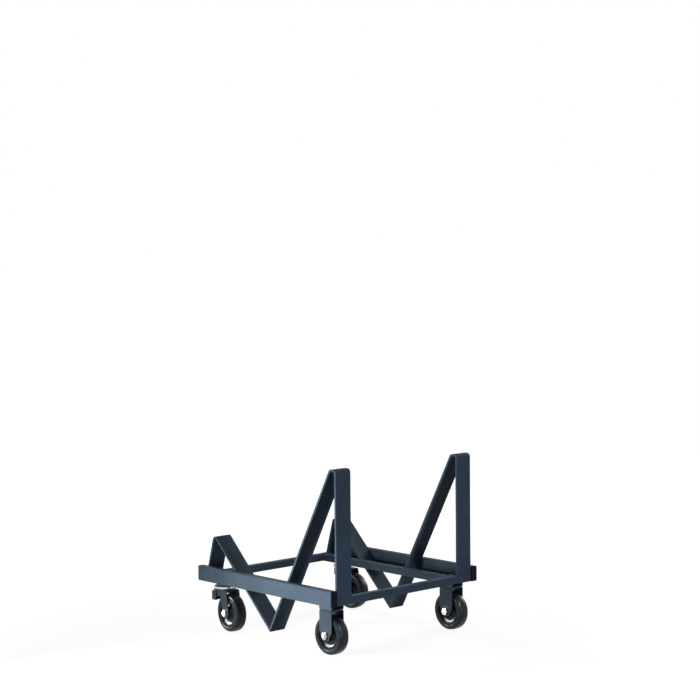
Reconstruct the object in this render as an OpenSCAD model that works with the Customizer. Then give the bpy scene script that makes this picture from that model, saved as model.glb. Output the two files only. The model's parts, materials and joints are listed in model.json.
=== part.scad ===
// Stacking chair trolley: a welded steel base on four casters, with two V-shaped cradles of flat bar.
// +X runs along the side rails towards the two tall posts, +Y is the left side and +Z is up.
// The origin is on the floor below the middle of the frame. All sizes are in millimetres.
// The trolley is the same on both sides: each left piece is the mirror image of the right one.

/* [Frame] */
// Length over the end plugs of the side rails
frame_length = 530; // [500:5:620]
// Width over the outer faces of the side rails
frame_width = 515; // [460:5:600]
// Height over the posts
trolley_height = 470; // [410:5:530]
// Height of the side rail tube
rail_height = 40; // [30:1:50]
// Width of the side rail tube
rail_width = 20; // [16:1:30]
// Wall of the side rail tube
rail_wall = 2; // [1.5:0.25:2.5]
// Outside corner radius of the side rail tube
rail_corner = 3.5; // [3:0.25:5]
// Side of the square tube of the cross rails and inner rails
cross_size = 20; // [16:1:25]
// Wall of the square tube
cross_wall = 1.5; // [1:0.25:2]
// Outside corner radius of the square tube
cross_corner = 2.5; // [2.25:0.25:4]
// Thickness of the end plug that shows outside the rail
plug_flange = 3; // [2:0.5:5]
// Depth of the end plug inside the rail
plug_depth = 14; // [8:1:20]

/* [Cradles] */
// Width of the flat bar
bar_width = 50; // [46:1:60]
// Thickness of the flat bar
bar_thick = 6; // [4:0.5:8]
// Outside radius of the two folds at the top of a post
post_fold = 10; // [8:1:16]
// Length of the flat between these folds
post_flat = 8; // [4:1:16]
// Depth of the cradle's tip below the underside of the frame
cradle_drop = 102; // [80:1:115]
// Distance of the cradle's tip in front of the middle of the frame
tip_offset = 4; // [-20:1:20]
// Height of the rear folds above the underside of the frame
rear_rise = 120; // [105:5:140]
// Outside radius of the fold at the top of a strut
rear_fold = 10; // [9:1:14]
// Lean of the rear struts from the vertical, in degrees
strut_lean = 16; // [8:1:20]
// Distance of a strut's foot from the rear face of the rear cross rail
strut_setback = 9; // [4:1:10]

/* [Caster plates] */
// Length of a front caster plate
front_plate_length = 72; // [64:1:90]
// Length of a rear caster plate
rear_plate_length = 80; // [70:1:100]
// Distance of the front axles from the front end
front_setback = 51; // [50:1:56]
// Distance of the swivel axes from the rear end
swivel_setback = 57; // [54:1:66]

/* [Wheels] */
// Diameter of a wheel
wheel_d = 100; // [90:1:110]
// Width of the tyre
tread_width = 32; // [26:1:33]
// Radius of the tyre's shoulders
tyre_shoulder = 4; // [3:0.5:8]
// Radial thickness of the tyre
tyre_thick = 12; // [8:0.5:15]
// Width of the core at its rim
rim_width = 30; // [24:1:31]
// Radial thickness of the rim
rim_wall = 5; // [4:0.5:8]
// Diameter of the hub
hub_d = 26; // [22:1:30]
// Width of the hub
hub_width = 34; // [33:1:38]
// Depth of the round dish between hub and rim
dish_depth = 8; // [5:0.5:9]

/* [Axles] */
// Diameter of an axle bolt
axle_d = 10; // [8:0.5:11]
// Outside diameter of the sleeve that the wheel turns on
sleeve_d = 14; // [13:0.5:16]
// Width across the flats of the axle bolt's head and nut
axle_hex = 17; // [15:1:19]
// Thickness of an axle bolt's head
axle_head = 6.5; // [5:0.5:8]
// Thickness of the hexagon of an axle nut
axle_nut_thick = 6; // [5:0.5:9]
// Height of the round collar of an axle nut
axle_collar = 1.5; // [1:0.5:3]

/* [Forks] */
// Thickness of the steel strap of the forks
strap_thick = 3; // [2.5:0.25:4]
// Outside radius of the strap's bends
strap_bend = 5; // [4.5:0.25:7]
// Side play between the hub and a fork's leg
hub_play = 1; // [0.5:0.25:2]
// Width of a front fork along the rails
fork_width = 45; // [40:1:50]
// Gap between the tyre and the web of a front fork
fork_gap = 11; // [10:0.5:13]
// Height above the axle where a front fork's legs begin to taper
fork_taper_rise = 12; // [10:1:16]
// Width of a front fork's legs at their lower end
fork_foot_width = 22; // [20:1:26]
// Drop of a front fork's legs below the axle
fork_foot_drop = 11; // [10:0.5:14]
// Height of the riser tube between a front fork and its plate
riser_height = 16; // [15:0.5:22]
// Wall of the riser tube
riser_wall = 3; // [2:0.5:4]
// Outside corner radius of the riser tube
riser_corner = 4.5; // [4.25:0.25:6]
// Diameter of the bolt that holds a front fork
fork_bolt_d = 10; // [8:0.5:12]
// Width across the flats of the fork bolt's head and nut
fork_bolt_hex = 17; // [15:1:19]
// Thickness of the fork bolt's head
fork_bolt_head = 6; // [5:0.5:7]
// Thickness of a nut on top of a caster plate
plate_nut_thick = 8; // [6:0.5:10]

/* [Swivel casters] */
// Distance of a rear axle from its swivel axis
trail = 32; // [28:1:38]
// Angle to which the rear casters are turned out, in degrees
parked_angle = 6; // [0:1:15]
// Gap between the tyre and the crown of a swivel fork
crown_gap = 6; // [5:0.5:7]
// Diameter of the crown
crown_d = 53; // [50:1:56]
// Thickness of the crown
crown_thick = 5; // [4.5:0.5:6]
// Gap between the crown and the upper race
race_gap = 3; // [2.5:0.25:3.5]
// Height of the upper race
race_height = 4; // [3.5:0.25:6]
// Diameter of the neck above the race
neck_d = 44; // [36:1:48]
// Diameter of the top flange
flange_d = 54; // [50:1:58]
// Thickness of the top flange
flange_thick = 4; // [3:0.5:5]
// Wall of the dust cap round the race
cap_wall = 2.5; // [2:0.25:3]
// Diameter of a bearing ball
ball_d = 5; // [4.5:0.25:5.5]
// Diameter of the circle of balls
ball_circle_d = 40; // [38:1:42]
// Number of balls
ball_count = 12; // [8:1:16]
// Diameter of the kingpin
kingpin_d = 12; // [10:0.5:14]
// Width across the flats of the kingpin's head and nut
kingpin_hex = 19; // [18:1:22]
// Thickness of the kingpin's head
kingpin_head = 7; // [5:0.5:8]
// Place along the crown where a leg begins, from the swivel axis towards the wheel
leg_start = 4; // [0:1:8]
// Place along the crown where a leg ends, from the swivel axis towards the wheel
leg_end = 36; // [32:1:40]
// Radius of a leg's round lower end
leg_round = 14; // [12:0.5:16]

/* [Brakes] */
// Width of a brake lever
lever_width = 18; // [16:1:20]
// Thickness of a brake lever
lever_thick = 4; // [3:0.5:5]
// Gap between the brake shoe and the tyre when the brake is off
shoe_gap = 4; // [3.5:0.25:6]
// Depth of the lever's pivot below the crown
pivot_drop = 8; // [7.5:0.5:9]
// Height of the lever above its pivot
lever_top = 6; // [5:0.25:6.25]
// Depth of the lever below its pivot
lever_drop = 18; // [16:0.5:20]
// Thickness of the brake shoe along its push
shoe_depth = 10; // [8:0.5:11]
// Height of the brake shoe
shoe_height = 10; // [8:0.5:10]
// Reach of the brake shoe past the middle of the tyre
shoe_reach = 10; // [6:0.5:14]
// Diameter of the pivot pin
pin_d = 6; // [5:0.25:7]
// Diameter of the pivot pin's head
pin_head_d = 10; // [9:0.5:12]
// Thickness of the pivot pin's head
pin_head = 2; // [1.5:0.25:3]
// Radius of the ear that carries the pivot pin
ear_round = 6; // [5:0.25:6.5]

/* [Fits] */
// Radial play of a turning fit
running_gap = 0.06; // [0.02:0.01:0.1]
// Radial play of a bolt in its hole
bolt_gap = 0.25; // [0.1:0.05:0.5]
// Gap between pieces that pass each other
free_gap = 0.3; // [0.2:0.05:0.5]
// Gap between a bearing ball and its seat in the crown
seat_gap = 0.05; // [0.02:0.01:0.1]
// Gap round the part of an end plug inside the rail
plug_gap = 0.1; // [0.05:0.05:0.3]

/* [Hidden] */
$fn = 64;
quarter_turn = 90;
FRONT = 1;
REAR = -1;
RIGHT = -1;
LEFT = 1;
paint = "#2c313b";
wheel_black = "#17181a";
plug_black = "#26272a";
zinc = "#c9ced2";
steel = "#9da2a6";

// How far a cut runs past the face that it goes through
overrun = 1;
// Length of thread that shows past a nut
thread_end = 1.5;
// Thickness and width of the ring that holds the balls apart
cage_thick = 1.2;
cage_width = 4;
// Wall and drop of the dust cap's lower lip
lip_wall = 1.5;
lip_drop = 1.7;
// Share of a lever's width that the shoe reaches past the pivot towards the tyre
shoe_share = 0.25;

// Heights above the floor
axle_z = wheel_d / 2;
web_z = wheel_d + fork_gap;
riser_z = web_z + strap_thick;
frame_z = riser_z + riser_height;
cross_top_z = frame_z + cross_size;
plate_top_z = frame_z + bar_thick;
crown_z = wheel_d + crown_gap;
crown_top_z = crown_z + crown_thick;
race_z = crown_top_z + race_gap;
ball_z = crown_top_z + race_gap / 2;
pivot_z = crown_z - pivot_drop;
shoe_z = pivot_z - lever_drop;

// Places along the frame
tube_end = frame_length / 2 - plug_flange;
cross_inner = tube_end - cross_size;
front_x = frame_length / 2 - front_setback;
swivel_x = swivel_setback - frame_length / 2;

// Places across the frame
rail_inner_y = frame_width / 2 - rail_width;
bar_inner_y = rail_inner_y - bar_width;
caster_y = rail_inner_y - bar_width / 2;
fork_inner = hub_width + 2 * hub_play;
fork_outer = fork_inner + 2 * strap_thick;

// Radius of the wheel's core, and how far the tyre reaches from the axle towards the foot of the brake shoe
core_r = wheel_d / 2 - tyre_thick;
tread_reach = sqrt(pow(wheel_d / 2, 2) - pow(shoe_z - axle_z, 2));
// The shoe's working face past the lever's pivot, and the pivot's distance from the swivel axis
shoe_front = shoe_share * lever_width;
pivot_lead = shoe_front + shoe_gap + tread_reach - trail;
// Place along the crown where the fork's shoulders run into its legs
shoulder_end = leg_start + leg_round / 2;

// The cradle's lowest corner, where the undersides of its two arms meet
tip = [tip_offset, frame_z - cradle_drop];

// Centres of the two folds at a post's top, and the rise of the front arm that is tangent to the second
post_centre = [tube_end - post_fold, trolley_height - post_fold];
arm_centre = post_centre - [post_flat, 0];
arm_run = arm_centre - tip;
front_rise = atan2(arm_run.y, arm_run.x) + asin((post_fold - bar_thick) / norm(arm_run));

// Centre of the fold at a strut's top, and the rise of the rear arm that is tangent to it
rear_centre_z = frame_z + rear_rise - rear_fold;
strut_foot_x = strut_setback - tube_end;
rear_centre_x = strut_foot_x + (rear_centre_z - cross_top_z) * tan(strut_lean) + rear_fold / cos(strut_lean);
rear_centre = [rear_centre_x, rear_centre_z];
rear_run = tip - rear_centre;
rear_rise_angle = asin((rear_fold - bar_thick) / norm(rear_run)) - atan2(rear_run.y, rear_run.x);

// Length along one arm that the thickness of the other covers where they meet
meet = bar_thick / sin(front_rise + rear_rise_angle);
front_way = [cos(front_rise), sin(front_rise)];
rear_way = [-cos(rear_rise_angle), sin(rear_rise_angle)];
// Where the underside of the rear arm meets the upper face of the front arm
seam = tip + meet * rear_way;

function on_circle(centre, radius, angle) = centre + radius * [cos(angle), sin(angle)];
function hex_d(flats) = flats / cos(30);

// Draws a right-hand piece, or its mirror image on the left
module on_side(side) {
    if (side == LEFT) mirror([0, 1, 0]) children();
    else children();
}

// Sets a flat outline in X and Z upright, with its thickness from Y = 0 towards -Y
module upright(thick) {
    rotate([90, 0, 0]) linear_extrude(thick) children();
}

// Runs a section in Y and Z along +X
module along_x(length) {
    rotate([90, 0, 90]) linear_extrude(length) children();
}

// Moves to a front caster or to a rear one's swivel axis, on the right side
module at_front() {
    translate([front_x, -caster_y, 0]) children();
}

module at_swivel() {
    translate([swivel_x, -caster_y, 0]) rotate([0, 0, -parked_angle]) children();
}

// Moves to the middle of a wheel on the right side
module at_axle(end) {
    if (end == FRONT) at_front() translate([0, 0, axle_z]) children();
    else at_swivel() translate([trail, 0, axle_z]) children();
}

// Turns a shape made round Z so that its axis lies along Y, its top towards -Y
module across() {
    rotate([90, 0, 0]) children();
}

module rounded_rect(width, height, radius) {
    translate([radius - width / 2, 0]) square([width - 2 * radius, height]);
    translate([-width / 2, radius]) square([width, height - 2 * radius]);
    for (x = [radius - width / 2, width / 2 - radius], y = [radius, height - radius])
        translate([x, y]) circle(radius);
}

// Section of a tube, standing on its lower wall
module tube_section(width, height, wall, corner) {
    difference() {
        rounded_rect(width, height, corner);
        translate([0, wall]) rounded_rect(width - 2 * wall, height - 2 * wall, corner - wall);
    }
}

// Flat bar folded round one or more centres: the outline filled in, less the space within the folds
module folded_bar(centres, fold, outside, within) {
    translate([0, -bar_inner_y, 0]) upright(bar_width) difference() {
        union() {
            for (centre = centres) translate(centre) circle(fold);
            polygon(outside);
        }
        for (centre = centres) translate(centre) circle(fold - bar_thick);
        polygon(within);
    }
}

// Hexagon bolt along +Z: the head's upper face is at zero
module hex_bolt(diameter, flats, head, length) {
    translate([0, 0, -head]) cylinder(d = hex_d(flats), h = head, $fn = 6);
    cylinder(d = diameter, h = length);
}

module hex_nut(diameter, flats, thick) {
    difference() {
        cylinder(d = hex_d(flats), h = thick, $fn = 6);
        translate([0, 0, -overrun]) cylinder(d = diameter + 2 * bolt_gap, h = thick + 2 * overrun);
    }
}

// Side rail: rectangular tube along the whole frame
module side_rail(side) color(paint) on_side(side)
    translate([-tube_end, -frame_width / 2 + rail_width / 2, frame_z])
        along_x(2 * tube_end) tube_section(rail_width, rail_height, rail_wall, rail_corner);

// Plastic plugs that close the four open ends of the side rails
module end_plug() {
    inside = rail_wall + plug_gap;
    translate([tube_end, -frame_width / 2 + rail_width / 2, frame_z]) {
        along_x(plug_flange) rounded_rect(rail_width, rail_height, rail_corner);
        translate([-plug_depth, 0, inside])
            along_x(plug_depth)
                rounded_rect(rail_width - 2 * inside, rail_height - 2 * inside, rail_corner - inside);
    }
}

module end_plugs() color(plug_black)
    for (side = [RIGHT, LEFT], end = [0, 1])
        on_side(side) mirror([end, 0, 0]) end_plug();

// Cross rail: square tube between the side rails, flush with their ends
module cross_rail(end) color(paint)
    translate([end * (tube_end - cross_size / 2), rail_inner_y, frame_z])
        upright(2 * rail_inner_y) tube_section(cross_size, cross_size, cross_wall, cross_corner);

// Inner rail: square tube between the cross rails, against the inner edges of the cradle's bars
module inner_rail(side) color(paint) on_side(side)
    translate([-cross_inner, cross_size / 2 - bar_inner_y, frame_z])
        along_x(2 * cross_inner) tube_section(cross_size, cross_size, cross_wall, cross_corner);

// Front bar: a post that stands on the front cross rail, folds twice at the top and runs down to the tip
module front_bar(side) color(paint) on_side(side) {
    turn = quarter_turn + front_rise;
    inner = post_fold - bar_thick;
    post_back = tube_end - bar_thick;
    outside = [
        tip, [post_back, cross_top_z], [tube_end, cross_top_z], [tube_end, post_centre.y],
        on_circle(post_centre, post_fold, quarter_turn), on_circle(arm_centre, post_fold, quarter_turn),
        on_circle(arm_centre, post_fold, turn), seam
    ];
    within = [
        tip, on_circle(arm_centre, inner, turn), on_circle(arm_centre, inner, quarter_turn),
        on_circle(post_centre, inner, quarter_turn), [post_back, post_centre.y], [post_back, 0], [tip.x, 0]
    ];
    folded_bar([post_centre, arm_centre], post_fold, outside, within);
}

// Rear bar: a strut that stands on the rear cross rail, folds over and runs down to the front arm
module rear_bar(side) color(paint) on_side(side) {
    from = quarter_turn - rear_rise_angle;
    to = 2 * quarter_turn - strut_lean;
    inner = rear_fold - bar_thick;
    foot_front_x = strut_foot_x + bar_thick / cos(strut_lean);
    outside = [
        seam, seam + meet * front_way,
        on_circle(rear_centre, rear_fold, from), on_circle(rear_centre, rear_fold, to),
        [strut_foot_x, cross_top_z], [foot_front_x, cross_top_z]
    ];
    within = [
        seam, on_circle(rear_centre, inner, from), on_circle(rear_centre, inner, to),
        [foot_front_x - cross_top_z * tan(strut_lean), 0], [seam.x, 0]
    ];
    folded_bar([rear_centre], rear_fold, outside, within);
}

// Caster plates: flat bar laid between side rail and inner rail, against a cross rail
module front_plate(side) color(paint) on_side(side)
    difference() {
        translate([cross_inner - front_plate_length, -rail_inner_y, frame_z])
            cube([front_plate_length, bar_width, bar_thick]);
        at_front() translate([0, 0, frame_z - overrun])
            cylinder(d = fork_bolt_d + 2 * bolt_gap, h = bar_thick + 2 * overrun);
    }

module rear_plate(side) color(paint) on_side(side)
    difference() {
        translate([-cross_inner, -rail_inner_y, frame_z]) cube([rear_plate_length, bar_width, bar_thick]);
        at_swivel() translate([0, 0, frame_z - overrun])
            cylinder(d = kingpin_d + 2 * bolt_gap, h = bar_thick + 2 * overrun);
    }

// Riser: a short length of tube under the front caster plate
module riser(side) color(paint) on_side(side) at_front()
    difference() {
        translate([-fork_width / 2, 0, riser_z])
            along_x(fork_width) tube_section(fork_outer, riser_height, riser_wall, riser_corner);
        translate([0, 0, riser_z - overrun])
            cylinder(d = fork_bolt_d + 2 * bolt_gap, h = riser_height + 2 * overrun);
    }

// Section of a strap bent to a U, with its web uppermost
module strap_section(top) {
    inner_bend = strap_bend - strap_thick;
    difference() {
        rounded_rect(fork_outer, top, strap_bend);
        translate([-fork_inner / 2, -overrun]) square([fork_inner, top + overrun - strap_thick - inner_bend]);
        rounded_rect(fork_inner, top - strap_thick, inner_bend);
    }
}

module axle_hole() {
    translate([0, fork_outer / 2 + overrun, 0])
        across() cylinder(d = axle_d + 2 * bolt_gap, h = fork_outer + 2 * overrun);
}

// Front fork: a strap bent over the wheel, with tapered legs
module front_fork(side) color(paint) on_side(side) at_front()
    difference() {
        intersection() {
            translate([-fork_width / 2, 0, 0]) along_x(fork_width) strap_section(riser_z);
            translate([0, fork_outer / 2 + overrun, 0]) upright(fork_outer + 2 * overrun) polygon([
                [-fork_foot_width / 2, axle_z - fork_foot_drop],
                [fork_foot_width / 2, axle_z - fork_foot_drop],
                [fork_width / 2, axle_z + fork_taper_rise], [fork_width / 2, riser_z],
                [-fork_width / 2, riser_z], [-fork_width / 2, axle_z + fork_taper_rise]
            ]);
        }
        translate([0, 0, axle_z]) axle_hole();
        translate([0, 0, web_z - overrun])
            cylinder(d = fork_bolt_d + 2 * bolt_gap, h = strap_thick + 2 * overrun);
    }

// Bolt and nut that hold a front fork and its riser to the caster plate
module fork_bolt(side) color(zinc) on_side(side) at_front() translate([0, 0, web_z])
    hex_bolt(fork_bolt_d, fork_bolt_hex, fork_bolt_head, plate_top_z + plate_nut_thick + thread_end - web_z);

module fork_nut(side) color(zinc) on_side(side) at_front() translate([0, 0, plate_top_z])
    hex_nut(fork_bolt_d, fork_bolt_hex, plate_nut_thick);

// Axle bolt, with its head on the inner side of the fork
module axle_bolt(end, side) color(zinc) on_side(side) at_axle(end) translate([0, fork_outer / 2, 0]) across()
    hex_bolt(axle_d, axle_hex, axle_head, fork_outer + axle_nut_thick + axle_collar + thread_end);

// Axle nut with a round locking collar, on the outer side of the fork
module axle_nut(end, side) color(zinc) on_side(side) at_axle(end)
    translate([0, -fork_outer / 2, 0]) across() {
        hex_nut(axle_d, axle_hex, axle_nut_thick);
        translate([0, 0, axle_nut_thick]) difference() {
            cylinder(d = sleeve_d, h = axle_collar);
            translate([0, 0, -overrun]) cylinder(d = axle_d + 2 * bolt_gap, h = axle_collar + 2 * overrun);
        }
    }

// Steel sleeve between a fork's legs, on which the wheel turns
module sleeve(end, side) color(steel) on_side(side) at_axle(end) translate([0, fork_inner / 2, 0]) across()
    difference() {
        cylinder(d = sleeve_d, h = fork_inner);
        translate([0, 0, -overrun]) cylinder(d = axle_d + 2 * bolt_gap, h = fork_inner + 2 * overrun);
    }

// Moulded core of a wheel: hub, web and rim, with a round dish on each face
module core(end, side) color(wheel_black) on_side(side) at_axle(end) across()
    rotate_extrude() {
        bore = sleeve_d / 2 + running_gap;
        dish_round = (core_r - rim_wall - hub_d / 2) / 2;
        dish_centre = rim_width / 2 - dish_depth + dish_round;
        difference() {
            translate([bore, -rim_width / 2]) square([core_r - bore, rim_width]);
            for (face = [-1, 1])
                translate([hub_d / 2 + dish_round, face * dish_centre]) circle(dish_round);
        }
        translate([bore, -hub_width / 2]) square([hub_d / 2 - bore, hub_width]);
    }

// Rubber tyre with round shoulders, closed on the core
module tyre(end, side) color(wheel_black) on_side(side) at_axle(end) across()
    rotate_extrude() {
        shoulder_r = wheel_d / 2 - tyre_shoulder;
        shoulder_y = tread_width / 2 - tyre_shoulder;
        difference() {
            union() {
                translate([0, -tread_width / 2]) square([shoulder_r, tread_width]);
                translate([0, -shoulder_y]) square([wheel_d / 2, 2 * shoulder_y]);
                for (face = [-1, 1])
                    translate([shoulder_r, face * shoulder_y]) circle(tyre_shoulder);
            }
            translate([-overrun, -tread_width / 2 - overrun])
                square([core_r + overrun, tread_width + 2 * overrun]);
        }
    }

// Upper race of a swivel head: flange, neck and race, with a groove for the balls
module swivel_race(side) color(paint) on_side(side) at_swivel()
    rotate_extrude() {
        bore = kingpin_d / 2 + bolt_gap;
        difference() {
            polygon([
                [bore, race_z], [crown_d / 2, race_z], [crown_d / 2, race_z + race_height],
                [neck_d / 2, race_z + race_height], [neck_d / 2, frame_z - flange_thick],
                [flange_d / 2, frame_z - flange_thick], [flange_d / 2, frame_z], [bore, frame_z]
            ]);
            translate([ball_circle_d / 2, ball_z]) circle(ball_d / 2 + free_gap);
        }
    }

// Bright dust cap pressed round the race, with a lip over the bearing's gap
module dust_cap(side) color(zinc) on_side(side) at_swivel()
    rotate_extrude() {
        outer = crown_d / 2 + cap_wall;
        translate([crown_d / 2, race_z]) square([cap_wall, race_height]);
        translate([outer - lip_wall, race_z - lip_drop]) square([lip_wall, lip_drop]);
    }

// Kingpin: a bolt from below the crown up through the caster plate
module kingpin(side) color(steel) on_side(side) at_swivel() translate([0, 0, crown_z - free_gap])
    hex_bolt(kingpin_d, kingpin_hex, kingpin_head, plate_top_z + plate_nut_thick + thread_end - crown_z);

module kingpin_nut(side) color(zinc) on_side(side) at_swivel() translate([0, 0, plate_top_z])
    hex_nut(kingpin_d, kingpin_hex, plate_nut_thick);

// Bearing balls and the ring that holds them apart
module ball_ring(side) color(steel) on_side(side) at_swivel() translate([0, 0, ball_z]) {
    rotate_extrude() translate([(ball_circle_d - cage_width) / 2, -cage_thick / 2])
        square([cage_width, cage_thick]);
    for (i = [0 : ball_count - 1])
        rotate([0, 0, i * 360 / ball_count]) translate([ball_circle_d / 2, 0, 0]) sphere(d = ball_d);
}

// Swivel fork: a round crown under the race, two legs with shoulders, and an ear for the brake
module swivel_fork(side) color(paint) on_side(side) at_swivel()
    difference() {
        union() {
            translate([0, 0, crown_z]) cylinder(d = crown_d, h = crown_thick);
            intersection() {
                translate([leg_start, 0, 0]) along_x(trail + leg_round) strap_section(crown_top_z);
                translate([0, fork_outer / 2 + overrun, 0]) upright(fork_outer + 2 * overrun) {
                    polygon([
                        [leg_start, crown_top_z], [leg_end, crown_top_z],
                        [trail + leg_round, axle_z], [trail - leg_round, axle_z]
                    ]);
                    translate([trail, axle_z]) circle(leg_round);
                }
            }
            translate([-pivot_lead, -fork_inner / 2, 0]) upright(strap_thick) {
                translate([-ear_round, pivot_z]) square([2 * ear_round, pivot_drop + crown_thick / 2]);
                translate([0, pivot_z]) circle(ear_round);
            }
            for (plane = [-fork_inner / 2, fork_outer / 2])
                translate([-pivot_lead, plane, pivot_z - ear_round]) upright(strap_thick)
                    square([pivot_lead + shoulder_end, ear_round + pivot_drop + crown_thick / 2]);
        }
        translate([0, 0, crown_z - overrun])
            cylinder(d = kingpin_d + 2 * running_gap, h = crown_thick + 2 * overrun);
        translate([0, 0, ball_z]) rotate_extrude()
            translate([ball_circle_d / 2, 0]) circle(ball_d / 2 + seat_gap);
        translate([trail, 0, axle_z]) axle_hole();
        translate([-pivot_lead, overrun - fork_inner / 2, pivot_z])
            across() cylinder(d = pin_d, h = strap_thick + 2 * overrun);
    }

// Brake lever: a flat tab outside the fork, bent in below to a shoe in front of the tyre
module brake_lever(side) color(paint) on_side(side) at_swivel()
    translate([-pivot_lead, -fork_outer / 2 - free_gap, pivot_z])
        difference() {
            union() {
                upright(lever_thick) translate([-lever_width / 2, -lever_drop])
                    square([lever_width, lever_drop + lever_top]);
                translate([0, fork_outer / 2 + free_gap + shoe_reach, 0])
                    upright(fork_outer / 2 + free_gap + shoe_reach)
                        translate([shoe_front - shoe_depth, -lever_drop]) square([shoe_depth, shoe_height]);
            }
            translate([0, overrun, 0])
                across() cylinder(d = pin_d + 2 * running_gap, h = lever_thick + 2 * overrun);
        }

// Pivot pin of a brake lever, riveted in the fork's ear
module brake_pin(side) color(zinc) on_side(side) at_swivel()
    translate([-pivot_lead, -fork_inner / 2, pivot_z]) across() {
        shank = strap_thick + lever_thick + 2 * free_gap;
        cylinder(d = pin_d, h = shank);
        translate([0, 0, shank]) cylinder(d = pin_head_d, h = pin_head);
    }

side_rail(RIGHT);  // side_rail_right
side_rail(LEFT);  // side_rail_left
end_plugs();
cross_rail(FRONT);  // front_cross_rail
cross_rail(REAR);  // rear_cross_rail
inner_rail(RIGHT);  // inner_rail_right
inner_rail(LEFT);  // inner_rail_left
front_bar(RIGHT);  // front_bar_right
front_bar(LEFT);  // front_bar_left
rear_bar(RIGHT);  // rear_bar_right
rear_bar(LEFT);  // rear_bar_left
front_plate(RIGHT);  // caster_plate_front_right
front_plate(LEFT);  // caster_plate_front_left
rear_plate(RIGHT);  // caster_plate_rear_right
rear_plate(LEFT);  // caster_plate_rear_left
riser(RIGHT);  // riser_right
riser(LEFT);  // riser_left
front_fork(RIGHT);  // front_fork_right
front_fork(LEFT);  // front_fork_left
fork_bolt(RIGHT);  // fork_bolt_right
fork_bolt(LEFT);  // fork_bolt_left
fork_nut(RIGHT);  // fork_nut_right
fork_nut(LEFT);  // fork_nut_left
axle_bolt(FRONT, RIGHT);  // axle_bolt_front_right
axle_bolt(FRONT, LEFT);  // axle_bolt_front_left
axle_bolt(REAR, RIGHT);  // axle_bolt_rear_right
axle_bolt(REAR, LEFT);  // axle_bolt_rear_left
axle_nut(FRONT, RIGHT);  // axle_nut_front_right
axle_nut(FRONT, LEFT);  // axle_nut_front_left
axle_nut(REAR, RIGHT);  // axle_nut_rear_right
axle_nut(REAR, LEFT);  // axle_nut_rear_left
sleeve(FRONT, RIGHT);  // sleeve_front_right
sleeve(FRONT, LEFT);  // sleeve_front_left
sleeve(REAR, RIGHT);  // sleeve_rear_right
sleeve(REAR, LEFT);  // sleeve_rear_left
core(FRONT, RIGHT);  // core_front_right
core(FRONT, LEFT);  // core_front_left
core(REAR, RIGHT);  // core_rear_right
core(REAR, LEFT);  // core_rear_left
tyre(FRONT, RIGHT);  // tyre_front_right
tyre(FRONT, LEFT);  // tyre_front_left
tyre(REAR, RIGHT);  // tyre_rear_right
tyre(REAR, LEFT);  // tyre_rear_left
swivel_race(RIGHT);  // swivel_race_right
swivel_race(LEFT);  // swivel_race_left
dust_cap(RIGHT);  // dust_cap_right
dust_cap(LEFT);  // dust_cap_left
kingpin(RIGHT);  // kingpin_right
kingpin(LEFT);  // kingpin_left
kingpin_nut(RIGHT);  // kingpin_nut_right
kingpin_nut(LEFT);  // kingpin_nut_left
ball_ring(RIGHT);  // ball_ring_right
ball_ring(LEFT);  // ball_ring_left
swivel_fork(RIGHT);  // swivel_fork_right
swivel_fork(LEFT);  // swivel_fork_left
brake_lever(RIGHT);  // brake_lever_right
brake_lever(LEFT);  // brake_lever_left
brake_pin(RIGHT);  // brake_pin_right
brake_pin(LEFT);  // brake_pin_left
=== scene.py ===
import json
import math
import bmesh
import bpy
from mathutils import Matrix, Vector

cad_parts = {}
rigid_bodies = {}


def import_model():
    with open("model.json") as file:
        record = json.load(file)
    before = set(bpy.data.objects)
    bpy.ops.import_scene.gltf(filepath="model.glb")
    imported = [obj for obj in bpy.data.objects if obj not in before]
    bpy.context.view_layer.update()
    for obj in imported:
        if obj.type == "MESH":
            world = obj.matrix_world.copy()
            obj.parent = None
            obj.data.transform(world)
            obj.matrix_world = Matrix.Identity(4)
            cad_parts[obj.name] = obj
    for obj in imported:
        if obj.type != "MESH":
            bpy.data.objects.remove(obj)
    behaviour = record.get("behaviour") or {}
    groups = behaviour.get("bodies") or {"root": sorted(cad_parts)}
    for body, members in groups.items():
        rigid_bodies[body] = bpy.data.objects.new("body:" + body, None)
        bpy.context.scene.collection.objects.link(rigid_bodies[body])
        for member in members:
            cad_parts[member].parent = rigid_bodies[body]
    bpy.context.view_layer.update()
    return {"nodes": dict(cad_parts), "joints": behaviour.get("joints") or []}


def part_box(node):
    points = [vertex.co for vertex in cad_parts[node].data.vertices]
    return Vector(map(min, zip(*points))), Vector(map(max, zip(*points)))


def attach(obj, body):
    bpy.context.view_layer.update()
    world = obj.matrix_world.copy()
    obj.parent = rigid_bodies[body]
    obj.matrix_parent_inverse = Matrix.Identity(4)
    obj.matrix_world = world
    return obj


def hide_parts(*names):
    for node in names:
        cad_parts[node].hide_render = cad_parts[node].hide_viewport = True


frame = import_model()


# Side rails: two lengths of 40 x 20 mm welded steel tube, sawn square and linished.
# The whole frame is sprayed after welding with one coat of satin navy paint.
# The paint has a fine orange peel and is rubbed and chipped on the edges, which also carry a painted
# highlight.
mm = 0.001
sides = ("right", "left")
nodes = frame["nodes"]
satin_navy = (0.052, 0.075, 0.109)
bare_steel = (0.20, 0.205, 0.215)
paint_dust = (0.16, 0.155, 0.15)


def group(name, inputs, outputs):
    """An empty shader node group, with the sockets that its nodes read from and feed."""
    tree = bpy.data.node_groups.new(name, "ShaderNodeTree")
    for label, value in inputs:
        socket = tree.interface.new_socket(label, in_out="INPUT", socket_type="NodeSocketFloat")
        socket.default_value = value
    for label in outputs:
        tree.interface.new_socket(label, in_out="OUTPUT", socket_type="NodeSocketFloat")
    return tree, tree.nodes.new("NodeGroupInput").outputs, tree.nodes.new("NodeGroupOutput").inputs


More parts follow.
